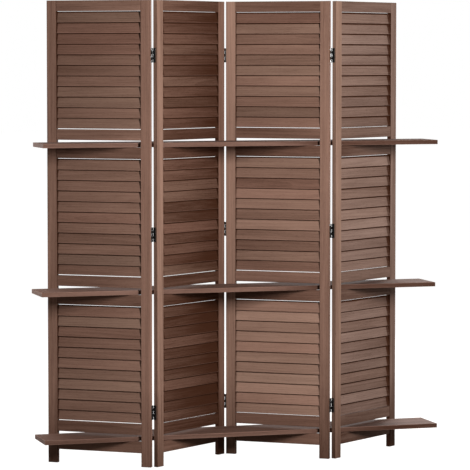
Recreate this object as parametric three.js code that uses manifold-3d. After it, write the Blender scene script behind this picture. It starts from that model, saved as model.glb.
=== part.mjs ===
// Folding screen: four louvred panels hinged in a zigzag, with three boards laid through their slots.
// Millimetres, +Z up. X runs along the zigzag's mean line, to the right seen from the front, and +Y
// points to the back. The origin is on the floor, under the middle of the box round the whole screen.
import * as THREE from "three";
import { mergeVertices } from "three/addons/utils/BufferGeometryUtils.js";
import Module from "manifold-3d";

const wasm = await Module();
wasm.setup();

// Panel frame
const panelCount = 4;
const panelWidth = 405;
const panelHeight = 1700;
const panelThickness = 16.2;
const stileWidth = 37.5;
const railHeight = 39.3;
const footHeight = 50.5; // from the floor to the lowest rail
const seatRailHeight = 42.2; // of the rails that the boards lie on
const slotHeight = 24.8;
const stileArris = 1.2; // cut corner along a stile's long edges

// Joints of the frame
const jointGap = 0.3; // round every seated or touching piece
const railTenonLength = 14;
const railTenonHeight = 24;
const railTenonThickness = 6;

// Slats
const slatCount = 11; // in each zone
const slatWidth = 41;
const slatThickness = 5.5;
const slatArris = 1.5;
const slatRecess = 0.8; // of a slat's edges behind the panel's faces
const slatTenonLength = 6; // into a stile's groove
const zoneTopGap = 1.2; // open above a zone's first slat
const zoneBottomGap = 1.6; // open below its last slat

// Boards
const tiers = ["bottom", "middle", "top"];
const boardLength = 1518;
const boardDepth = 168;
const boardThickness = 16;
const boardArris = 1.2;
const boardSideGap = 6.6; // between a board's edges and the stiles it passes
const boardShifts = { bottom: 19.4, middle: 9.9, top: 17 }; // right of the zigzag's middle

// Hinges
const hingeLevels = ["bottom", "middle", "top"];
const hingeHeight = 53;
const hingeInset = 200; // of the outer hinges' middles, from the floor and from the top
const leafWidth = 11;
const leafThickness = 1;
const knuckleCount = 5;
const knuckleRadius = 1.9;
const knuckleGap = 0.4;
const pinRadius = 0.9;
const pinClearance = 0.3;
const pinOffset = 3; // of the pin's axis outside the panels' faces
const hingeGap = 2.8; // between two panels' ends if they stood in one line
const roundSides = 8;

// Stained wood and japanned steel
const stain = new THREE.MeshStandardMaterial({ color: 0x7a5a4b, roughness: 0.62, metalness: 0 });
const slatStain = new THREE.MeshStandardMaterial({ color: 0x755546, roughness: 0.62, metalness: 0 });
const boardStain = new THREE.MeshStandardMaterial({ color: 0x6a4838, roughness: 0.55, metalness: 0 });
const blackSteel = new THREE.MeshStandardMaterial({ color: 0x191817, roughness: 0.3, metalness: 0.9 });

// Sizes that follow
const openingWidth = panelWidth - 2 * stileWidth;
const slotStage = seatRailHeight + slotHeight + railHeight;
const tierHeight = (panelHeight - footHeight - railHeight) / tiers.length;
const zoneHeight = tierHeight - slotStage;

// The zigzag stands nearly as flat as the boards let it: their edges pass the slots' ends closely.
const slotReach = Math.hypot(openingWidth / 2, panelThickness / 2);
const slotCorner = Math.atan2(panelThickness, openingWidth);
const panelAngle = slotCorner + Math.asin((boardDepth / 2 + boardSideGap) / slotReach);

// Two neighbours turn about a pin outside one face, so their middles keep to the mean line.
const pinFromMiddle = panelWidth / 2 + hingeGap / 2;
const pinFromPlane = panelThickness / 2 + pinOffset;
const panelSpacing =
  2 * (pinFromMiddle * Math.cos(panelAngle) + pinFromPlane * Math.sin(panelAngle));

// The slats lean so that their edges end just behind the faces.
const slatSpread = panelThickness - 2 * slatRecess;
const slatLean =
  Math.asin(slatSpread / Math.hypot(slatWidth, slatThickness)) - Math.atan2(slatThickness, slatWidth);
const slatRise = slatWidth * Math.cos(slatLean) + slatThickness * Math.sin(slatLean);
const slatPitch = (zoneHeight - zoneTopGap - zoneBottomGap - slatRise) / (slatCount - 1);

// Directions for a section drawn in Y and Z and drawn out along X
const alongX = new THREE.Matrix4().makeBasis(
  new THREE.Vector3(0, 1, 0),
  new THREE.Vector3(0, 0, 1),
  new THREE.Vector3(1, 0, 0),
);

function solidOf(geometry) {
  const bare = geometry.clone();
  bare.deleteAttribute("normal");
  bare.deleteAttribute("uv");
  const merged = mergeVertices(bare);
  return new wasm.Manifold(
    new wasm.Mesh({
      numProp: 3,
      vertProperties: merged.getAttribute("position").array,
      triVerts: new Uint32Array(merged.index.array),
    }),
  );
}

function geometryOf(solid) {
  const mesh = solid.getMesh();
  const geometry = new THREE.BufferGeometry();
  geometry.setAttribute("position", new THREE.BufferAttribute(mesh.vertProperties, 3));
  geometry.setIndex(new THREE.BufferAttribute(mesh.triVerts, 1));
  const flat = geometry.toNonIndexed();
  flat.computeVertexNormals();
  return flat;
}

function outline(corners) {
  return new THREE.Shape(corners.map(([across, up]) => new THREE.Vector2(across, up)));
}

// A rectangle about the origin with its corners cut
function arrisedRectangle(width, height, arris) {
  const x = width / 2;
  const y = height / 2;
  return outline([
    [-x + arris, -y],
    [x - arris, -y],
    [x, -y + arris],
    [x, y - arris],
    [x - arris, y],
    [-x + arris, y],
    [-x, y - arris],
    [-x, -y + arris],
  ]);
}

// A slat's section before it leans: the two corners that come near the panel's faces are cut.
function slatSection() {
  const x = slatThickness / 2;
  const y = slatWidth / 2;
  return outline([
    [-x + slatArris, -y],
    [x, -y],
    [x, y - slatArris],
    [x - slatArris, y],
    [-x, y],
    [-x, -y + slatArris],
  ]);
}

// A section in Y and Z, drawn out evenly to both sides of X = 0
function drawnAlongX(section, length) {
  const geometry = new THREE.ExtrudeGeometry(section, { depth: length, bevelEnabled: false });
  return geometry.translate(0, 0, -length / 2).applyMatrix4(alongX);
}

// A section in X and Y, drawn up from a height
function drawnUp(section, from, height) {
  const geometry = new THREE.ExtrudeGeometry(section, { depth: height, bevelEnabled: false });
  return geometry.translate(0, 0, from);
}

// Where a panel's rails lie: the height of each one's middle, from the lowest up
function railLevels() {
  const levels = [];
  tiers.forEach((tier, index) => {
    const floor = footHeight + index * tierHeight;
    const lower = floor + seatRailHeight / 2;
    const upper = floor + seatRailHeight + slotHeight + railHeight / 2;
    levels.push({ name: `${tier}_slot_lower_rail`, level: lower, height: seatRailHeight });
    levels.push({ name: `${tier}_slot_upper_rail`, level: upper, height: railHeight });
  });
  levels.push({ name: "top_rail", level: panelHeight - railHeight / 2, height: railHeight });
  return levels;
}

// Heights of the middles of a panel's slats, from the lowest up
function slatLevels() {
  const levels = [];
  tiers.forEach((tier, index) => {
    const zoneFloor = footHeight + index * tierHeight + slotStage;
    for (let count = 0; count < slatCount; count += 1) {
      levels.push(zoneFloor + zoneBottomGap + slatRise / 2 + count * slatPitch);
    }
  });
  return levels;
}

// A rail between the stiles, with a stub tenon at each end
function railGeometry(height) {
  const shoulderToShoulder = openingWidth - 2 * jointGap;
  const body = new THREE.BoxGeometry(shoulderToShoulder, panelThickness, height);
  const tenon = new THREE.BoxGeometry(
    openingWidth + 2 * (railTenonLength - jointGap),
    railTenonThickness,
    railTenonHeight,
  );
  return geometryOf(solidOf(body).add(solidOf(tenon)));
}

// The hollow in a stile for a rail's tenon, across the whole panel
function railMortises(level) {
  const hollow = new THREE.BoxGeometry(
    openingWidth + 2 * railTenonLength,
    railTenonThickness + 2 * jointGap,
    railTenonHeight + 2 * jointGap,
  );
  return solidOf(hollow.translate(0, 0, level));
}

function slatSolid(level) {
  const length = openingWidth + 2 * (slatTenonLength - jointGap);
  return solidOf(drawnAlongX(slatSection(), length).rotateX(-slatLean).translate(0, 0, level));
}

// The square-cut grooves for a slat's ends, across the whole panel
function slatGrooves(level) {
  const hollow = new THREE.BoxGeometry(
    openingWidth + 2 * slatTenonLength,
    slatThickness + 2 * jointGap,
    slatWidth + 2 * jointGap,
  );
  return solidOf(hollow.rotateX(-slatLean).translate(0, 0, level));
}

function stileSolid(side) {
  const section = arrisedRectangle(stileWidth, panelThickness, stileArris);
  const stile = solidOf(drawnUp(section, 0, panelHeight).translate((side * (panelWidth - stileWidth)) / 2, 0, 0));
  return railLevels().reduce((cut, rail) => cut.subtract(railMortises(rail.level)), stile);
}

// The right stile has a leaning groove for each slat's end.
function rightStileGeometry() {
  const grooved = slatLevels().reduce((stile, level) => stile.subtract(slatGrooves(level)), stileSolid(1));
  return geometryOf(grooved);
}

// The left stile carries the slats, as one comb glued up before the right stile goes on.
function leftStileGeometry() {
  const comb = slatLevels().reduce((stile, level) => stile.add(slatSolid(level)), stileSolid(-1));
  return geometryOf(comb);
}

function circle(radius) {
  const points = [];
  for (let step = 0; step < roundSides; step += 1) {
    const angle = (2 * Math.PI * step) / roundSides;
    points.push([radius * Math.cos(angle), radius * Math.sin(angle)]);
  }
  return outline(points);
}

function rectangle(x0, y0, x1, y1) {
  return outline([
    [x0, y0],
    [x1, y0],
    [x1, y1],
    [x0, y1],
  ]);
}

// A hinge leaf, about the corner of a stile: X points away from the stile's end, Y out of the face
// on the pin's side. Every other knuckle belongs to it, from the first or from the second.
function leafGeometry(firstKnuckle) {
  const pitch = hingeHeight / knuckleCount;
  const floor = -hingeHeight / 2;
  const axis = [hingeGap / 2, pinOffset];
  const inner = jointGap;
  const outer = jointGap + leafThickness;
  let leaf = solidOf(drawnUp(rectangle(inner, -leafWidth, outer, 0), floor, hingeHeight));
  for (let knuckle = firstKnuckle; knuckle < knuckleCount; knuckle += 2) {
    const from = floor + knuckle * pitch + knuckleGap / 2;
    const height = pitch - knuckleGap;
    const neck = drawnUp(rectangle(inner, -leafThickness, outer, pinOffset), from, height);
    const barrel = drawnUp(circle(knuckleRadius), from, height).translate(...axis, 0);
    leaf = leaf.add(solidOf(neck)).add(solidOf(barrel));
  }
  const ownsPin = firstKnuckle === 0;
  const shaft = ownsPin ? circle(pinRadius) : circle(pinRadius + pinClearance);
  const reach = ownsPin ? hingeHeight - knuckleGap : hingeHeight;
  const core = solidOf(drawnUp(shaft, -reach / 2, reach).translate(...axis, 0));
  return geometryOf(ownsPin ? leaf.add(core) : leaf.subtract(core));
}

function named(name, geometry, material) {
  const mesh = new THREE.Mesh(geometry, material);
  mesh.name = name;
  return mesh;
}

const plainRail = railGeometry(railHeight);
const seatRail = railGeometry(seatRailHeight);
const sharedLeftStile = leftStileGeometry();
const sharedRightStile = rightStileGeometry();
const pinLeaf = leafGeometry(0);
const plainLeaf = leafGeometry(1);
const hingeHeights = {
  bottom: hingeInset,
  middle: panelHeight / 2,
  top: panelHeight - hingeInset,
};

// The three leaves on one end of a panel. The pins stand behind the peaks and before the valleys,
// and belong to the panel on their left.
function addLeaves(panel, joint, side) {
  const atPeak = joint % 2 === 1;
  const letter = "abc"[joint - 1];
  const faceSide = atPeak ? 1 : -1;
  const ownsPin = side === 1;
  hingeLevels.forEach((level) => {
    const name = `hinge_${letter}_${level}_${ownsPin ? "pin_leaf" : "plain_leaf"}`;
    const leaf = named(name, ownsPin ? pinLeaf : plainLeaf, blackSteel);
    leaf.position.set((side * panelWidth) / 2, (faceSide * panelThickness) / 2, hingeHeights[level]);
    leaf.scale.set(side, faceSide, 1);
    panel.add(leaf);
  });
}

// One panel about its own middle: X across it, Y to its back
function makePanel(number) {
  const panel = new THREE.Group();
  panel.add(named(`panel_${number}_left_stile_and_slats`, sharedLeftStile, slatStain));
  panel.add(named(`panel_${number}_right_stile`, sharedRightStile, stain));
  railLevels().forEach((rail) => {
    const geometry = rail.height === seatRailHeight ? seatRail : plainRail;
    const mesh = named(`panel_${number}_${rail.name}`, geometry, stain);
    mesh.position.z = rail.level;
    panel.add(mesh);
  });
  if (number > 1) addLeaves(panel, number - 1, -1);
  if (number < panelCount) addLeaves(panel, number, 1);
  return panel;
}

const screen = new THREE.Group();
for (let number = 1; number <= panelCount; number += 1) {
  const panel = makePanel(number);
  panel.position.x = (number - (panelCount + 1) / 2) * panelSpacing;
  panel.rotation.z = number % 2 === 1 ? -panelAngle : panelAngle;
  screen.add(panel);
}

tiers.forEach((tier, index) => {
  const section = arrisedRectangle(boardDepth, boardThickness, boardArris);
  const board = named(`${tier}_board`, drawnAlongX(section, boardLength), boardStain);
  const seat = footHeight + index * tierHeight + seatRailHeight;
  board.position.set(boardShifts[tier], 0, seat + jointGap + boardThickness / 2);
  screen.add(board);
});

// The boards reach furthest, so the middle of the box lies between their outermost ends.
const shifts = Object.values(boardShifts);
screen.position.x = -(Math.min(...shifts) + Math.max(...shifts)) / 2;

export default screen;
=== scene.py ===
import math
import random

import bmesh
import bpy
from mathutils import Euler, Matrix, Vector


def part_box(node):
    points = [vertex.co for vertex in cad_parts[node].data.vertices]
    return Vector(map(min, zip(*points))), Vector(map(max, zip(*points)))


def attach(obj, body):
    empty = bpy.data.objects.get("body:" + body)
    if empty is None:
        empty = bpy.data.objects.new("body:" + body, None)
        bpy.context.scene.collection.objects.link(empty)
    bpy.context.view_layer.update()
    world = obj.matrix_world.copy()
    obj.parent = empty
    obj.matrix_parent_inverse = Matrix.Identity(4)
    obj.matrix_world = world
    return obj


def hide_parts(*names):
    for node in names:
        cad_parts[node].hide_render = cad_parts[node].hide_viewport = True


# Folding screen: four louvred panels of brown stained pine in a zigzag, with three boards
# through their slots. Metres, +Z up, +X along the boards, +Y to the back.
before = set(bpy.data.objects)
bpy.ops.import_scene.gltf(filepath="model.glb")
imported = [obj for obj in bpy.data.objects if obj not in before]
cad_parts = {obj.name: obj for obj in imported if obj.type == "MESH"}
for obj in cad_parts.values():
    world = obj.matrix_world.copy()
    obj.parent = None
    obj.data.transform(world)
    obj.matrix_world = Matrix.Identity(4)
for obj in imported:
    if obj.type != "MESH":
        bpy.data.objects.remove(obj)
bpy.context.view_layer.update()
print("frame loaded:", len(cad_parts), "nodes")

mm = 0.001
luck = random.Random(5597)
scene = bpy.context.scene
tiers = ("bottom", "middle", "top")


# Camera, floor and light

cameraSettings = {
    "place": (-2.7783, -9.0320, 1.4934),
    "azimuth": -17.036,  # degrees round from +Y, below 0 towards +X
    "pitch": 3.359,  # degrees below level
    "sensor": 36,  # mm
    "lens": 195.37,  # mm
    "shift": -0.06,  # of the picture's width, below 0 downwards
    "farthest": 100,  # metres that it sees
}


def addCamera(s):
    data = bpy.data.cameras.new("camera")
    data.sensor_width = s["sensor"]
    data.lens = s["lens"]
    data.shift_y = s["shift"]
    data.clip_end = s["farthest"]
    camera = bpy.data.objects.new("camera", data)
    camera.location = s["place"]
    camera.rotation_euler = Euler((math.radians(90 - s["pitch"]), 0, math.radians(s["azimuth"])))
    scene.collection.objects.link(camera)
    scene.camera = camera


def toLinear(colour):
    # a colour written as sRGB hex, such as "7a5a4b", as linear RGBA
    parts = [int(colour[i:i + 2], 16) / 255 for i in (0, 2, 4)]
    return [p / 12.92 if p <= 0.04045 else ((p + 0.055) / 1.055) ** 2.4 for p in parts] + [1]


def addNode(tree, kind, settings=None, links=None):
    # settings are properties by name or sockets by name or number; links are sockets to fill
    node = tree.nodes.new(kind)
    for key, value in (settings or {}).items():
        if isinstance(key, str) and hasattr(node, key):
            setattr(node, key, value)
        else:
            node.inputs[key].default_value = value
    for key, source in (links or {}).items():
        tree.links.new(source, node.inputs[key])
    return node


def newMaterial(name):
    material = bpy.data.materials.new(name)
    material.use_nodes = True
    material.node_tree.nodes.clear()
    return material, material.node_tree


def plainlySeen(tree):
    # 1 for rays that see the paper and the room, straight on or in gloss or glass, 0 for light
    path = addNode(tree, "ShaderNodeLightPath")
    seen = addNode(tree, "ShaderNodeMath", {"operation": "MAXIMUM"},
                   {0: path.outputs["Is Camera Ray"], 1: path.outputs["Is Glossy Ray"]})
    seen = addNode(tree, "ShaderNodeMath", {"operation": "MAXIMUM"},
                   {0: seen.outputs[0], 1: path.outputs["Is Transmission Ray"]})
    return seen.outputs[0]


# Matt grey-white paper, rolled out a long way: it keeps a soft shadow by the feet and clears
# to plain white further off.
floorSettings = {
    "size": 80,  # metres
    "colour": "8f8c89",
    "nearLift": 0.92,  # glow added for the camera beside the screen, and far from it
    "farLift": 1.0,
    "nearEdge": 0.9,  # metres from the middle, where the one starts to turn into the other
    "farEdge": 3.4,
}


def addFloor(s):
    material, tree = newMaterial("paleStudioPaper")
    paper = addNode(tree, "ShaderNodeBsdfDiffuse", {"Color": toLinear(s["colour"])})
    place = addNode(tree, "ShaderNodeTexCoord").outputs["Object"]
    away = addNode(tree, "ShaderNodeVectorMath", {"operation": "LENGTH"}, {0: place}).outputs["Value"]
    lift = addNode(tree, "ShaderNodeMapRange", {
        "interpolation_type": "SMOOTHSTEP", "From Min": s["nearEdge"], "From Max": s["farEdge"],
        "To Min": s["nearLift"], "To Max": s["farLift"],
    }, {"Value": away})
    strength = addNode(tree, "ShaderNodeMath", {"operation": "MULTIPLY"},
                       {0: plainlySeen(tree), 1: lift.outputs[0]})
    glow = addNode(tree, "ShaderNodeEmission", {"Color": (1, 1, 1, 1)},
                   {"Strength": strength.outputs[0]})
    both = addNode(tree, "ShaderNodeAddShader", None, {0: paper.outputs[0], 1: glow.outputs[0]})
    addNode(tree, "ShaderNodeOutputMaterial", None, {"Surface": both.outputs[0]})
    bm = bmesh.new()
    bmesh.ops.create_grid(bm, x_segments=1, y_segments=1, size=s["size"] / 2)
    mesh = bpy.data.meshes.new("floor")
    bm.to_mesh(mesh)
    bm.free()
    mesh.materials.append(material)
    floor = bpy.data.objects.new("floor", mesh)
    scene.collection.objects.link(floor)


lightSettings = {
    "room": 0.035,  # soft light from all round
    "lamps": {
        # place, what it points at, width and height, watts
        "key": ((0.5, -3.7, 2.0), (0.0, 0.0, 1.1), (0.5, 1.2), 205),
        "fill": ((3.3, -1.7, 1.5), (0.3, 0.0, 0.9), (1.6, 1.6), 28),
        "backLeft": ((-3.0, 2.5, 1.35), (0.0, 0.0, 0.9), (1.4, 1.4), 160),
        "backRight": ((3.0, 2.5, 1.35), (0.0, 0.0, 0.9), (1.4, 1.4), 160),
    },
}


def addLight(s):
    for name, (place, aim, size, power) in s["lamps"].items():
        data = bpy.data.lights.new(name, "AREA")
        data.shape = "RECTANGLE"
        data.size, data.size_y = size
        data.energy = power
        lamp = bpy.data.objects.new(name, data)
        lamp.location = place
        lamp.rotation_euler = (Vector(aim) - Vector(place)).to_track_quat("-Z", "Y").to_euler()
        scene.collection.objects.link(lamp)
    world = bpy.data.worlds.new("studio")
    world.use_nodes = True
    tree = world.node_tree
    tree.nodes.clear()
    room = addNode(tree, "ShaderNodeBackground", {"Color": (1, 1, 1, 1), "Strength": s["room"]})
    white = addNode(tree, "ShaderNodeBackground", {"Color": (1, 1, 1, 1), "Strength": 1})
    mixed = addNode(tree, "ShaderNodeMixShader", None,
                    {0: plainlySeen(tree), 1: room.outputs[0], 2: white.outputs[0]})
    addNode(tree, "ShaderNodeOutputWorld", None, {"Surface": mixed.outputs[0]})
    scene.world = world


scene.view_settings.view_transform = "Standard"
addCamera(cameraSettings)
addFloor(floorSettings)
addLight(lightSettings)
print("camera, floor and light")


# Finishes

# Pine planed, stained brown and wiped, under a thin satin lacquer: the soft wood between the
# grain lines takes the stain and goes dark, and rounded edges come out lighter, partly from wear
# and partly as a painted highlight. From piece to piece the light wood is greyer or redder.
# Widths, lengths and spacings are in mm, and depths are shares of the way from light to dark.
pineSettings = {
    "dark": "341c10",
    "grey": "a48a7e",
    "tan": "a48473",
    "rose": "a47b6b",
    "ringSpacing": 7.5,
    "ringStretch": 20,  # a ring's waves are this much longer than wide
    "ringWander": 5,  # how far the rings leave a true circle, and how closely they wave
    "ringWanderScale": 0.35,
    "ringDepth": 0.08,
    "streakWidth": 9,  # drawn as coarse as it needs to be to show from 9 m away
    "streakLength": 420,
    "streakDepth": 0.05,
    "fibreWidth": 1.3,  # coarser than the real 0.1 mm or less, so that it shows
    "fibreLength": 90,
    "fibreDepth": 0.08,
    "poreWidth": 0.8,  # coarser than real, as the fibres are
    "poreLength": 16,
    "poreEdge": (0.60, 0.70),  # levels of the noise at which a pore begins and is full
    "poreDepth": 0.16,
    "poreSink": 0.8,  # as a share of the fibres' relief
    "blotchSize": 130,
    "blotchStretch": 3,
    "blotchDepth": 0.08,
    "figureRange": (0.28, 0.72),  # levels of the noises that give full light and full dark
    "hiddenBelow": 0.5,  # tone under which a deep stain starts to hide the figure
    "hiddenShare": 0.5,  # how much of the figure shows at tone 0
    "edgeTone": 0.30,  # tone added for an edge tone of 1 on rounded edges: partly wear, partly a painted highlight
    "glossRange": (0.3, 0.7),  # levels of the fibres' noise at which it is glossiest and dullest
    "roughness": 0.76,
    "roughnessSwing": (-0.07, 0.09),
    "ior": 1.45,
    "sheen": 0.06,
    "bump": 0.25,
    "bumpHeight": 0.4,
}
wavePeriod = 314.16  # mm from ring to ring of a wave texture whose scale is 1


def stretchedNoise(tree, grain, width, length, detail, roughness=0.5):
    # noise that runs along the grain: width across it and length along it, both in mm
    scale = (1000 / length, 1000 / width, 1000 / width)
    spread = addNode(tree, "ShaderNodeMapping", {"Scale": scale}, {"Vector": grain})
    noise = addNode(tree, "ShaderNodeTexNoise", {"Scale": 1, "Detail": detail, "Roughness": roughness},
                    {"Vector": spread.outputs[0]})
    return noise.outputs["Fac"]


def between(tree, value, low, high, toLow=0.0, toHigh=1.0):
    # value from low to high spread out from toLow to toHigh, and held at these beyond
    settings = {"From Min": low, "From Max": high, "To Min": toLow, "To Max": toHigh}
    return addNode(tree, "ShaderNodeMapRange", settings, {"Value": value}).outputs[0]


def stainedPine(name, s):
    material, tree = newMaterial(name)
    grain = addNode(tree, "ShaderNodeAttribute", {"attribute_name": "grain"}).outputs["Vector"]
    tone = addNode(tree, "ShaderNodeAttribute", {"attribute_name": "tone"}).outputs["Fac"]
    hue = addNode(tree, "ShaderNodeAttribute", {"attribute_name": "hue"}).outputs["Fac"]
    edgeShift = addNode(tree, "ShaderNodeAttribute", {"attribute_name": "edgeShift"}).outputs["Fac"]

    # growth rings round the heart of the trunk, which runs near the board
    trunk = addNode(tree, "ShaderNodeMapping", {"Scale": (1 / s["ringStretch"], 1, 1)},
                    {"Vector": grain})
    rings = addNode(tree, "ShaderNodeTexWave", {
        "wave_type": "RINGS", "rings_direction": "X", "wave_profile": "SAW",
        "Scale": wavePeriod / s["ringSpacing"], "Distortion": s["ringWander"],
        "Detail": 2, "Detail Scale": s["ringWanderScale"],
    }, {"Vector": trunk.outputs[0]}).outputs["Fac"]
    streaks = stretchedNoise(tree, grain, s["streakWidth"], s["streakLength"], detail=2)
    fibres = stretchedNoise(tree, grain, s["fibreWidth"], s["fibreLength"], detail=3, roughness=0.6)
    pores = stretchedNoise(tree, grain, s["poreWidth"], s["poreLength"], detail=1)
    pores = between(tree, pores, *s["poreEdge"])
    blotches = stretchedNoise(tree, grain, s["blotchSize"] / s["blotchStretch"],
                              s["blotchSize"] * s["blotchStretch"], detail=3)

    # all of it as one share of darkening
    dark = addNode(tree, "ShaderNodeMath", {"operation": "MULTIPLY", 1: s["ringDepth"]}, {0: rings})
    for noise, part in ((streaks, "streak"), (fibres, "fibre"), (blotches, "blotch")):
        depth = s[f"{part}Depth"]
        swing = between(tree, noise, *s["figureRange"], -depth, depth)
        dark = addNode(tree, "ShaderNodeMath", {"operation": "ADD"}, {0: dark.outputs[0], 1: swing})
    dark = addNode(tree, "ShaderNodeMath", {"operation": "MULTIPLY_ADD", 1: s["poreDepth"]},
                   {0: pores, 2: dark.outputs[0]})
    shown = between(tree, tone, 0, s["hiddenBelow"], s["hiddenShare"], 1)
    dark = addNode(tree, "ShaderNodeMath", {"operation": "MULTIPLY"}, {0: dark.outputs[0], 1: shown})
    shade = addNode(tree, "ShaderNodeMath", {"operation": "SUBTRACT", "use_clamp": True},
                    {0: tone, 1: dark.outputs[0]})
    # rounded edges lighter by their edge tone, partly wear and partly a painted highlight; darker
    # where it is below 0
    edged = addNode(tree, "ShaderNodeMath",
                   {"operation": "MULTIPLY_ADD", "use_clamp": True, 1: s["edgeTone"]},
                   {0: edgeShift, 2: shade.outputs[0]})

    hues = addNode(tree, "ShaderNodeValToRGB", None, {"Fac": hue})
    hues.color_ramp.elements.new(0.5)
    for element, light in zip(hues.color_ramp.elements, ("grey", "tan", "rose")):
        element.color = toLinear(s[light])
    colour = addNode(tree, "ShaderNodeMix", {"data_type": "RGBA", 6: toLinear(s["dark"])},
                     {0: edged.outputs[0], 7: hues.outputs["Color"]}).outputs[2]
    low, high = s["roughnessSwing"]
    roughness = between(tree, fibres, *s["glossRange"], s["roughness"] + low, s["roughness"] + high)

    height = addNode(tree, "ShaderNodeMath", {"operation": "MULTIPLY_ADD", 1: -s["poreSink"]},
                     {0: pores, 2: fibres})
    relief = addNode(tree, "ShaderNodeBump", {"Strength": s["bump"], "Distance": s["bumpHeight"] * mm},
                     {"Height": height.outputs[0]})
    shader = addNode(tree, "ShaderNodeBsdfPrincipled",
                     {"IOR": s["ior"], "Specular IOR Level": s["sheen"]},
                     {"Base Color": colour, "Roughness": roughness, "Normal": relief.outputs[0]})
    addNode(tree, "ShaderNodeOutputMaterial", None, {"Surface": shader.outputs[0]})
    return material


# Steel stamped and rolled, dipped in black japan: a soft gloss that pools a little
japanSettings = {
    "colour": "100f0e",
    "pool": 6,  # mm across
    "glossRange": (0.3, 0.7),  # levels of the pools' noise
    "roughness": 0.24,
    "roughnessSwing": (-0.08, 0.14),
    "sheen": 0.22,
    "coat": 0.1,
    "coatRoughness": 0.08,
    "bump": 0.2,
    "bumpHeight": 0.15,  # mm
}


def japannedSteel(name, s):
    material, tree = newMaterial(name)
    place = addNode(tree, "ShaderNodeTexCoord").outputs["Object"]
    pools = addNode(tree, "ShaderNodeTexNoise", {"Scale": 1000 / s["pool"], "Detail": 2},
                    {"Vector": place}).outputs["Fac"]
    low, high = s["roughnessSwing"]
    roughness = between(tree, pools, *s["glossRange"], s["roughness"] + low, s["roughness"] + high)
    relief = addNode(tree, "ShaderNodeBump", {"Strength": s["bump"], "Distance": s["bumpHeight"] * mm},
                     {"Height": pools})
    shader = addNode(tree, "ShaderNodeBsdfPrincipled", {
        "Base Color": toLinear(s["colour"]), "Specular IOR Level": s["sheen"],
        "Coat Weight": s["coat"], "Coat Roughness": s["coatRoughness"],
    }, {"Roughness": roughness, "Normal": relief.outputs[0]})
    addNode(tree, "ShaderNodeOutputMaterial", None, {"Surface": shader.outputs[0]})
    return material


# stiles and rails of strongly figured stock, thin slats of finer growth, and boards sawn from
# wider planks, smoother and with a redder stain
framePine = stainedPine("brownStainedPineFrame", {
    **pineSettings, "streakWidth": 11, "streakDepth": 0.09,
})
slatPine = stainedPine("brownStainedPineSlats", {**pineSettings, "ringSpacing": 6, "streakWidth": 7})
boardPine = stainedPine("brownStainedPineBoards", {
    **pineSettings, "rose": "a47a70", "ringSpacing": 9, "roughness": 0.7, "sheen": 0.1,
})
blackJapan = japannedSteel("blackJapannedSteel", japanSettings)
print("finishes")


# Wooden pieces

# how a bar lay in the trunk that it was sawn from
sawnSettings = {
    "along": 5,  # metres, either way
    "aside": 60,  # mm from the heart, either way
    "fromHeart": (25, 70),  # mm
    "turn": 6.28,  # radians
    "outOfLine": 0.02,  # radians, either way
}
nearFace = 0.1  # of an arris: a point this close to a face lies on it
onPlane = 0.001 * mm  # a cut this close to a point goes through it
inBand = 0.01 * mm  # a point this close to the edge of a covered band lies in it
squareOn = 0.999  # of a flat face's normal along its axis; a rounded arris has less


def edgesOf(verts):
    return list(dict.fromkeys(e for v in verts for e in v.link_edges))


def facesOf(verts):
    return list(dict.fromkeys(f for v in verts for f in v.link_faces))


def easeEdges(bm, edges, offset, segments):
    return bmesh.ops.bevel(bm, geom=edges, offset=offset, offset_type="OFFSET", segments=segments,
                           profile=0.5, affect="EDGES", clamp_overlap=True, material=-1)["faces"]


def toneAlong(run, share):
    # run is pairs of a share of the length and the tone there, straight from one to the next
    for (start, first), (end, second) in zip(run, run[1:]):
        if share <= end:
            return first + (second - first) * max(0, (share - start) / (end - start))
    return run[-1][1]


def sawnFrom(s):
    # where in the trunk a bar lay: off the heart, and about a degree out of line
    place = (luck.uniform(-s["along"], s["along"]), luck.uniform(-s["aside"], s["aside"]) * mm,
             luck.uniform(*s["fromHeart"]) * mm)
    turn = Euler((luck.uniform(0, s["turn"]), luck.uniform(-s["outOfLine"], s["outOfLine"]),
                  luck.uniform(-s["outOfLine"], s["outOfLine"])))
    return Matrix.Translation(place) @ turn.to_matrix().to_4x4()


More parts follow.
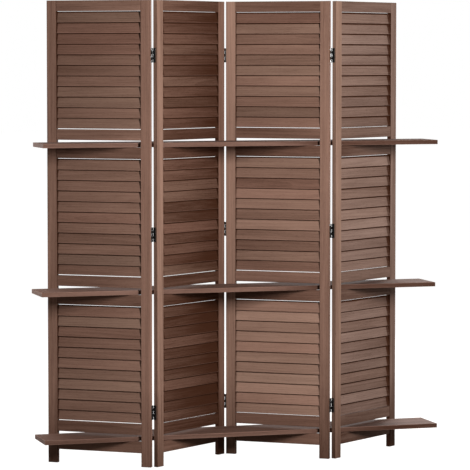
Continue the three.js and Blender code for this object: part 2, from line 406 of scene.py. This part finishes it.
def newBar(bm, size, arris, segments, run, hue, turn=None, place=(0, 0, 0),
           stainAndShade=(0, 0, 0), lap=None, edgeTone=0):
    # One bar of wood in bm: size is its length, width and thickness along X, Y and Z before the
    # turn. It gets its own share of grain. Run is its tone from the low X end to the high X end,
    # as pairs of a share of the length and a tone, and hue goes from grey at 0 to red at 1.
    # StainAndShade is how much darker its end grain, its low Z side and its high Z side are: on end
    # grain it is stain taken up, on the sides it is painted shade, where they lie in a recess or under
    # a neighbour. Lap is the height of the band that a neighbour covers, the height it fades over and
    # how much darker the band is painted, as shade under the neighbour: high at the front, low at the
    # back. EdgeTone is how much lighter its rounded edges are, partly wear and partly a painted
    # highlight, and below 0 how much darker they are.
    others = set(bm.verts)
    verts = bmesh.ops.create_cube(bm, size=1)["verts"]
    bmesh.ops.scale(bm, vec=size, verts=verts)
    easeEdges(bm, edgesOf(verts), arris, segments)
    cuts = [(((share - 0.5) * size[0], 0, 0), (1, 0, 0)) for share, tone in run[1:-1]]
    if lap:
        cuts += [((0, 0, side * (size[2] / 2 - level)), (0, 0, side))
                 for level in (lap[0], lap[0] + lap[1]) for side in (-1, 1)]
    for point, normal in cuts:
        own = [v for v in bm.verts if v not in others]
        bmesh.ops.bisect_plane(bm, geom=own + edgesOf(own) + facesOf(own), dist=onPlane,
                               plane_co=point, plane_no=normal)

    own = [v for v in bm.verts if v not in others]
    grainLayer = bm.verts.layers.float_vector["grain"]
    toneLayer = bm.verts.layers.float["tone"]
    hueLayer = bm.verts.layers.float["hue"]
    edgeShiftLayer = bm.loops.layers.float["edgeShift"]
    sawn = sawnFrom(sawnSettings)
    near = nearFace * arris
    for v in own:
        tone = toneAlong(run, v.co.x / size[0] + 0.5)
        # ends: more stain in the end grain; sides: painted shade where it is set
        if abs(v.co.x) > size[0] / 2 - near:
            tone -= stainAndShade[0]
        elif abs(v.co.z) > size[2] / 2 - near:
            tone -= stainAndShade[1 if v.co.z < 0 else 2]
        # painted shade on the band that a neighbour covers
        elif lap and v.co.z * (-1 if v.co.y < 0 else 1) < lap[0] - size[2] / 2 + inBand:
            tone -= lap[2]
        v[grainLayer] = sawn @ v.co
        v[toneLayer] = tone
        v[hueLayer] = hue
    # rounded edges carry the edge tone: partly wear, partly a painted highlight
    for f in facesOf(own):
        f.smooth = max(abs(c) for c in f.normal) < squareOn
        for loop in f.loops:
            loop[edgeShiftLayer] = edgeTone if f.smooth else 0
    matrix = Matrix.Translation(place)
    if turn is not None:
        matrix = matrix @ turn
    bmesh.ops.transform(bm, matrix=matrix, verts=own)


def newWood():
    bm = bmesh.new()
    bm.verts.layers.float_vector.new("grain")
    bm.verts.layers.float.new("tone")
    bm.verts.layers.float.new("hue")
    bm.loops.layers.float.new("edgeShift")
    return bm


def finishPiece(name, bm, matrix, body, material, nodes):
    bmesh.ops.transform(bm, matrix=matrix, verts=bm.verts)
    mesh = bpy.data.meshes.new(name)
    bm.to_mesh(mesh)
    bm.free()
    mesh.materials.append(material)
    piece = bpy.data.objects.new(name, mesh)
    scene.collection.objects.link(piece)
    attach(piece, body)
    if nodes:
        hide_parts(*nodes)


panelSettings = {
    "count": 4,
    "width": 405 * mm,
    "height": 1700 * mm,
    "thickness": 16.2 * mm,
    "angle": 36.06985,  # degrees from the boards' line
    "stile": 37.5 * mm,
    "rail": 39.3 * mm,
    "seatRail": 42.2 * mm,  # a rail that a board lies on
    "slot": 24.8 * mm,
    "foot": 50.5 * mm,
    "gap": 0.3 * mm,  # between a rail's end and the stile
    "arris": 1.1 * mm,
    "segments": 3,
    # how light the stain came out: each panel's left and right stile, at the foot and at the top
    "stileTones": (
        ((0.53, 0.49), (0.64, 0.59)),
        ((0.53, 0.52), (0.27, 0.43)),
        ((0.54, 0.82), (0.48, 0.60)),
        ((0.49, 0.56), (0.35, 0.43)),
    ),
    # its rails from the lowest up, the ones that the boards lie on apart, and how far they go
    # lighter at the left end and at the right end
    "railTones": (
        (0.31, 0.44, 0.51, 0.49),
        (0.10, 0.10, 0.09, 0.16),
        (0.32, 0.50, 0.35, 0.31),
        (0.21, 0.29, 0.31, 0.31),
    ),
    "railShifts": ((-0.04, 0.03), (0.05, -0.04), (0, 0), (-0.02, 0.02)),
    # the rails that the boards lie on are darker partly by painted shade from the boards above, and
    # their shifts follow that shade along them
    "seatTones": ((0.36, 0.33, 0.33), (0.20, 0.06, 0.08), (0.32, 0.24, 0.26), (0.24, 0.27, 0.26)),
    "seatShifts": ((0, 0), (0.06, -0.04), (-0.08, 0.03), (-0.12, 0.10)),
    # and how red it is: left stile, right stile and rails
    "hues": ((0.75, 0.81, 0.75), (0.60, 0.75, 0.75), (0.62, 0.72, 0.80), (0.50, 0.08, 0.15)),
    "endSoak": 0.30,
    "footShade": 0.29,  # painted shade: the stiles go darker towards the floor
    "footShare": 0.17,  # of the height, over which this fades
    "grooveSideShade": 0.60,  # painted shade on the stiles' grooved inner sides, in the recess by the slats' ends
    # painted shade on the stiles' outer sides, in the gaps between the panels
    "outerSoak": 0.10,
    "stileEdgeTone": -0.8,  # below 0: their rounded edges are darker
}

slatSettings = {
    "count": 11,
    "width": 41 * mm,
    "thickness": 5.5 * mm,
    "recess": 0.8 * mm,  # of the edges behind the panel's faces
    "seated": 5.7 * mm,  # in the grooves
    "topGap": 1.2 * mm,
    "bottomGap": 1.6 * mm,
    "arris": 1.3 * mm,
    "segments": 2,
    # how far each panel's lowest slats have slipped up in the bottom, middle and top louvre, and
    # its uppermost slats down: they lie loose in their grooves
    "raised": (
        (1.3 * mm, 1.2 * mm, 0.7 * mm),
        (0.9 * mm, 0.9 * mm, 0.2 * mm),
        (0.5 * mm, 0.8 * mm, 0.1 * mm),
        (0, 0.5 * mm, -0.3 * mm),
    ),
    "dropped": (0.9 * mm, 0.3 * mm, -0.4 * mm),
    # how light each panel's louvres are, from the lowest up, and how far its slats differ
    "tones": ((0.50, 0.46, 0.42), (0.07, 0.14, 0.13), (0.65, 0.53, 0.45), (0.35, 0.44, 0.39)),
    "toneSwings": (0.055, 0.035, 0.07, 0.055),
    # how the tone shifts along the slats, as for a bar's run: painted shade at their ends beside the
    # stiles, and on panel 2 painted shade deepening towards its right end, by the valley
    "shifts": (
        ((0, -0.42), (0.022, -0.42), (0.032, -0.03), (1, 0.03)),
        ((0, -0.08), (0.035, -0.08), (0.045, 0.08), (1, -0.08)),
        ((0, -0.30), (0.022, -0.30), (0.032, 0), (1, 0)),
        ((0, 0), (0.85, 0), (0.93, -0.06), (0.945, -0.36), (1, -0.36)),
    ),
    "hues": (0.70, 0.72, 0.64, 0.08),
    "hueSwing": 0.1,
    "limits": (0.03, 0.97),  # of a tone and a hue
    # covered by the next slat, and a little more that its lip keeps in the dark: painted shade
    "laps": (4.3 * mm, 5.3 * mm, 4.6 * mm, 6.4 * mm),
    "lapFade": 1.2 * mm,
    # painted shade on the covered band and the upper edge, and on the lip's underside
    "lapShade": 0.5,
    "lipShade": 0.2,
    "edgeTone": 0.8,  # at most, of the edges: lighter, partly wear and partly a painted highlight
}

upright = Matrix.Rotation(math.radians(-90), 4, "Y")  # a bar's length turned up


def panelMatrix(number, s):
    low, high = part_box(f"panel_{number}_top_rail")
    side = -1 if number % 2 == 1 else 1
    return (Matrix.Translation(((low.x + high.x) / 2, 0, 0))
            @ Matrix.Rotation(side * math.radians(s["angle"]), 4, "Z"))


def swung(value, swing, limits):
    low, high = limits
    return min(high, max(low, luck.gauss(value, swing)))


def tierHeight(s):
    return (s["height"] - s["foot"] - s["rail"]) / len(tiers)


def addStiles(number, s):
    body = f"panel_{number}"
    # the stiles' sides get painted shade, and their ends take up more stain
    grooved, outer = s["grooveSideShade"], s["outerSoak"]
    # upright turns a bar's high Z side to the panel's left
    stiles = (
        ("left", -1, (s["endSoak"], grooved, outer), f"{body}_left_stile_and_slats"),
        ("right", 1, (s["endSoak"], outer, grooved), f"{body}_right_stile"),
    )
    for index, (name, side, stainAndShade, node) in enumerate(stiles):
        footTone, topTone = s["stileTones"][number - 1][index]
        # the feet are darker: painted shade towards the floor
        run = ((0, footTone - s["footShade"]), (s["footShare"], footTone), (1, topTone))
        place = (side * (s["width"] - s["stile"]) / 2, 0, s["height"] / 2)
        bm = newWood()
        newBar(bm, (s["height"], s["thickness"], s["stile"]), s["arris"], s["segments"], run,
               s["hues"][number - 1][index], upright, place, stainAndShade, edgeTone=s["stileEdgeTone"])
        finishPiece(f"{body}_{name}_stile_wood", bm, panelMatrix(number, s), body, framePine,
                    [node])


def addRails(number, s):
    body = f"panel_{number}"
    levels = []
    for index, tier in enumerate(tiers):
        floor = s["foot"] + index * tierHeight(s)
        slotTop = floor + s["seatRail"] + s["slot"]
        levels.append(("seat", f"{tier}_slot_lower_rail", floor + s["seatRail"] / 2, s["seatRail"]))
        levels.append(("rail", f"{tier}_slot_upper_rail", slotTop + s["rail"] / 2, s["rail"]))
    levels.append(("rail", "top_rail", s["height"] - s["rail"] / 2, s["rail"]))

    length = s["width"] - 2 * s["stile"] - 2 * s["gap"]
    tones = {kind: list(s[f"{kind}Tones"][number - 1]) for kind in ("seat", "rail")}
    for kind, name, level, height in levels:
        tone = tones[kind].pop(0)
        leftShift, rightShift = s[f"{kind}Shifts"][number - 1]
        run = ((0, tone + leftShift), (1, tone + rightShift))
        bm = newWood()
        newBar(bm, (length, s["thickness"], height), s["arris"], s["segments"], run,
               s["hues"][number - 1][2], place=(0, 0, level))
        finishPiece(f"{body}_{name}_wood", bm, panelMatrix(number, s), body, framePine,
                    [f"{body}_{name}"])


def addSlats(number, s, slat):
    # lower edge at the front, each leaning so that its edges end just behind the panel's faces
    body = f"panel_{number}"
    depth = s["thickness"] - 2 * slat["recess"]
    lean = (math.asin(depth / math.hypot(slat["width"], slat["thickness"]))
            - math.atan2(slat["thickness"], slat["width"]))
    rise = slat["width"] * math.cos(lean) + slat["thickness"] * math.sin(lean)
    zone = tierHeight(s) - s["seatRail"] - s["slot"] - s["rail"]
    pitch = (zone - slat["topGap"] - slat["bottomGap"] - rise) / (slat["count"] - 1)
    size = (s["width"] - 2 * s["stile"] + 2 * slat["seated"], slat["thickness"], slat["width"])
    turn = Matrix.Rotation(-lean, 4, "X")
    # the slats' edge faces and covered bands get painted shade
    stainAndShade = (0, slat["lipShade"], slat["lapShade"])
    lap = (slat["laps"][number - 1], slat["lapFade"], slat["lapShade"])
    tones = slat["tones"][number - 1]
    for index, tier in enumerate(tiers):
        floor = s["foot"] + index * tierHeight(s) + s["seatRail"] + s["slot"] + s["rail"]
        lowest = floor + slat["bottomGap"] + rise / 2
        levels = [lowest + count * pitch for count in range(slat["count"])]
        levels[0] += slat["raised"][number - 1][index]
        levels[-1] -= slat["dropped"][index]
        bm = newWood()
        for level in levels:
            tone = swung(tones[index], slat["toneSwings"][number - 1], slat["limits"])
            hue = swung(slat["hues"][number - 1], slat["hueSwing"], slat["limits"])
            edgeTone = luck.uniform(0, slat["edgeTone"])
            # the shifts paint shade at the slats' ends, and along panel 2's slats
            run = [(share, tone + shift) for share, shift in slat["shifts"][number - 1]]
            newBar(bm, size, slat["arris"], slat["segments"], run, hue, turn, (0, 0, level), stainAndShade,
                   lap, edgeTone)
        finishPiece(f"{body}_{tier}_slats", bm, panelMatrix(number, s), body, slatPine, [])


for number in range(1, panelSettings["count"] + 1):
    addStiles(number, panelSettings)
    addRails(number, panelSettings)
    addSlats(number, panelSettings, slatSettings)
    print("panel", number)


boardSettings = {
    "length": 1518 * mm,
    "depth": 168 * mm,
    "thickness": 16 * mm,
    "arris": 1.2 * mm,
    "segments": 3,
    # from the left end to the right end, as shares of the length and tones
    "tones": {
        "bottom": (
            (0, 0.18), (0.03, 0.20), (0.08, 0.21), (0.43, 0.30), (0.62, 0.29),
            (0.68, 0.25), (0.78, 0.15), (0.86, 0.12), (0.935, 0.10), (1, 0.09),
        ),
        "middle": (
            (0, 0.37), (0.03, 0.38), (0.08, 0.39), (0.16, 0.41), (0.43, 0.33), (0.57, 0.33),
            (0.63, 0.21), (0.68, 0.15), (0.86, 0.12), (0.935, 0.11), (1, 0.09),
        ),
        "top": (
            (0, 0.35), (0.03, 0.35), (0.08, 0.35), (0.56, 0.37), (0.63, 0.28),
            (0.68, 0.18), (0.80, 0.16), (0.86, 0.13), (0.935, 0.11), (1, 0.09),
        ),
    },
    # the upper faces of the free ends are lighter, a painted reflection of the bright room around
    # them, and a little darker between them, painted shade where the panels shelter them
    "topSheenAndShade": ((0, 0.12), (0.03, 0.08), (0.08, -0.06), (0.86, -0.06), (0.935, 0.27), (1, 0.30)),
    "hue": 0.7,
    "endSoak": 0.06,
    # lighter rounded edges, partly wear and partly a painted highlight
    "edgeTone": 0.8,
}


def addBoards(s):
    for tier in tiers:
        low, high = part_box(f"{tier}_board")
        middle = (low + high) / 2
        bm = newWood()
        newBar(bm, (s["length"], s["depth"], s["thickness"]), s["arris"], s["segments"],
               s["tones"][tier], s["hue"], place=middle, stainAndShade=(s["endSoak"], 0, 0), edgeTone=s["edgeTone"])
        toneLayer = bm.verts.layers.float["tone"]
        # painted reflection on the free ends' upper faces, painted shade between them
        for v in bm.verts:
            if v.co.z > middle.z + s["thickness"] / 2 - nearFace * s["arris"]:
                v[toneLayer] += toneAlong(s["topSheenAndShade"], (v.co.x - middle.x) / s["length"] + 0.5)
        finishPiece(f"{tier}_board_wood", bm, Matrix.Identity(4), f"{tier}_board", boardPine,
                    [f"{tier}_board"])


addBoards(boardSettings)
print("boards")


# Hinges

hingeSettings = {
    "letters": "abc",
    "height": 53 * mm,
    "inset": 200 * mm,  # of the bottom and top hinges' middles from the panel's ends
    "leafWidth": 11 * mm,
    "leafThickness": 1 * mm,
    "leafArris": 0.3 * mm,
    "neckDepth": 0.6 * mm,  # of the tongue that each knuckle is rolled from, into the leaf
    "neckArris": 0.2 * mm,
    "knuckles": 5,
    "knuckleRadius": 1.9 * mm,
    "knuckleGap": 0.4 * mm,
    "knuckleArris": 0.25 * mm,
    "pinRadius": 0.9 * mm,
    "pinOffset": 3 * mm,  # of the axis from the panel's face
    "pinArris": 0.2 * mm,
    "gap": 2.8 * mm,  # between the two panels
    "seat": 0.3 * mm,  # between a leaf and the stile
    "sides": 32,
    "arrisSegments": 2,
    "screwRadius": 2.3 * mm,
    "screwHeights": (-18 * mm, 0, 18 * mm),
    "screwIn": 6.4 * mm,  # from the face on the pin's side
    "screwSides": 24,
    "screwTaper": 0.55,  # the neck's radius as a share of the head's
    "screwProud": 0.12 * mm,
    "crossReach": 1.5 * mm,
    "crossWidth": 0.7 * mm,
    "crossDepth": 0.6 * mm,
}


def addDrum(bm, radius, low, high, arris, s):
    # an upright cylinder on the hinge's axis, with eased ends
    verts = bmesh.ops.create_cone(bm, cap_ends=True, segments=s["sides"], radius1=radius,
                                  radius2=radius, depth=high - low)["verts"]
    bmesh.ops.translate(bm, vec=(s["gap"] / 2, s["pinOffset"], (low + high) / 2), verts=verts)
    faces = facesOf(verts)
    for f in faces:
        f.smooth = len(f.verts) == 4
    rims = list(dict.fromkeys(e for f in faces if not f.smooth for e in f.edges))
    for f in easeEdges(bm, rims, arris, s["arrisSegments"]):
        f.smooth = True


def addPlate(bm, low, high, arris, s):
    verts = bmesh.ops.create_cube(bm, size=1)["verts"]
    bmesh.ops.scale(bm, vec=[b - a for a, b in zip(low, high)], verts=verts)
    bmesh.ops.translate(bm, vec=[(a + b) / 2 for a, b in zip(low, high)], verts=verts)
    for f in easeEdges(bm, edgesOf(verts), arris, s["arrisSegments"]):
        f.smooth = True


def leafMesh(first, s):
    # about the corner of a stile: X away from its end, Y out of the face on the pin's side
    bm = bmesh.new()
    pitch = s["height"] / s["knuckles"]
    floor = -s["height"] / 2
    inner, outer = s["seat"], s["seat"] + s["leafThickness"]
    addPlate(bm, (inner, -s["leafWidth"], floor), (outer, 0, -floor), s["leafArris"], s)
    for knuckle in range(first, s["knuckles"], 2):
        low = floor + knuckle * pitch + s["knuckleGap"] / 2
        high = low + pitch - s["knuckleGap"]
        addPlate(bm, (inner, -s["neckDepth"], low), (outer, s["pinOffset"], high), s["neckArris"], s)
        addDrum(bm, s["knuckleRadius"], low, high, s["knuckleArris"], s)
    if first == 0:
        reach = s["height"] / 2 - s["knuckleGap"] / 2
        addDrum(bm, s["pinRadius"], -reach, reach, s["pinArris"], s)
    return bm


def cutCross(bm, top, s):
    # sinks a cross into a screw head's upper face
    bmesh.ops.inset_individual(bm, faces=[top], thickness=s["screwRadius"] - s["crossReach"])
    faces = [top]
    half = s["crossWidth"] / 2
    for side in ((1, 0, 0), (-1, 0, 0), (0, 1, 0), (0, -1, 0)):
        edges = list(dict.fromkeys(e for f in faces for e in f.edges))
        verts = list(dict.fromkeys(v for f in faces for v in f.verts))
        cut = bmesh.ops.bisect_plane(bm, geom=verts + edges + faces, dist=onPlane,
                                     plane_co=[c * half for c in side], plane_no=side)
        faces = [g for g in cut["geom"] if isinstance(g, bmesh.types.BMFace)]
    centres = [f.calc_center_median() for f in faces]
    cross = [f for f, c in zip(faces, centres) if min(abs(c.x), abs(c.y)) < half]
    sunk = bmesh.ops.extrude_face_region(bm, geom=cross)
    verts = [g for g in sunk["geom"] if isinstance(g, bmesh.types.BMVert)]
    bmesh.ops.translate(bm, vec=(0, 0, -s["crossDepth"]), verts=verts)
    bmesh.ops.delete(bm, geom=cross, context="FACES")


def screwMesh(s):
    # countersunk heads, a touch proud of the leaf, with a cross cut in each
    bm = bmesh.new()
    face = s["seat"] + s["leafThickness"]
    for level in s["screwHeights"]:
        others = set(bm.verts)
        verts = bmesh.ops.create_cone(bm, cap_ends=True, segments=s["screwSides"],
                                      radius1=s["screwRadius"] * s["screwTaper"],
                                      radius2=s["screwRadius"], depth=s["leafThickness"])["verts"]
        cutCross(bm, max(facesOf(verts), key=lambda f: f.calc_center_median().z), s)
        middle = (face - s["leafThickness"] / 2 + s["screwProud"], -s["screwIn"], level)
        matrix = Matrix.Translation(middle) @ Matrix.Rotation(math.radians(90), 4, "Y")
        bmesh.ops.transform(bm, matrix=matrix, verts=[v for v in bm.verts if v not in others])
    return bm


def addHinges(s, panel):
    levels = {"bottom": s["inset"], "middle": panel["height"] / 2, "top": panel["height"] - s["inset"]}
    for joint, letter in enumerate(s["letters"], 1):
        faceSide = 1 if joint % 2 == 1 else -1
        for side, number, kind, first in ((1, joint, "pin_leaf", 0), (-1, joint + 1, "plain_leaf", 1)):
            for level, height in levels.items():
                node = f"hinge_{letter}_{level}_{kind}"
                corner = (side * panel["width"] / 2, faceSide * panel["thickness"] / 2, height)
                place = (panelMatrix(number, panel) @ Matrix.Translation(corner)
                         @ Matrix.Diagonal((side, faceSide, 1, 1)))
                for name, bm, nodes in ((f"{node}_steel", leafMesh(first, s), [node]),
                                        (f"{node}_screws", screwMesh(s), [])):
                    bmesh.ops.transform(bm, matrix=place, verts=bm.verts)
                    bmesh.ops.recalc_face_normals(bm, faces=bm.faces)
                    finishPiece(name, bm, Matrix.Identity(4), f"panel_{number}", blackJapan,
                                nodes)


addHinges(hingeSettings, panelSettings)
print("hinges")
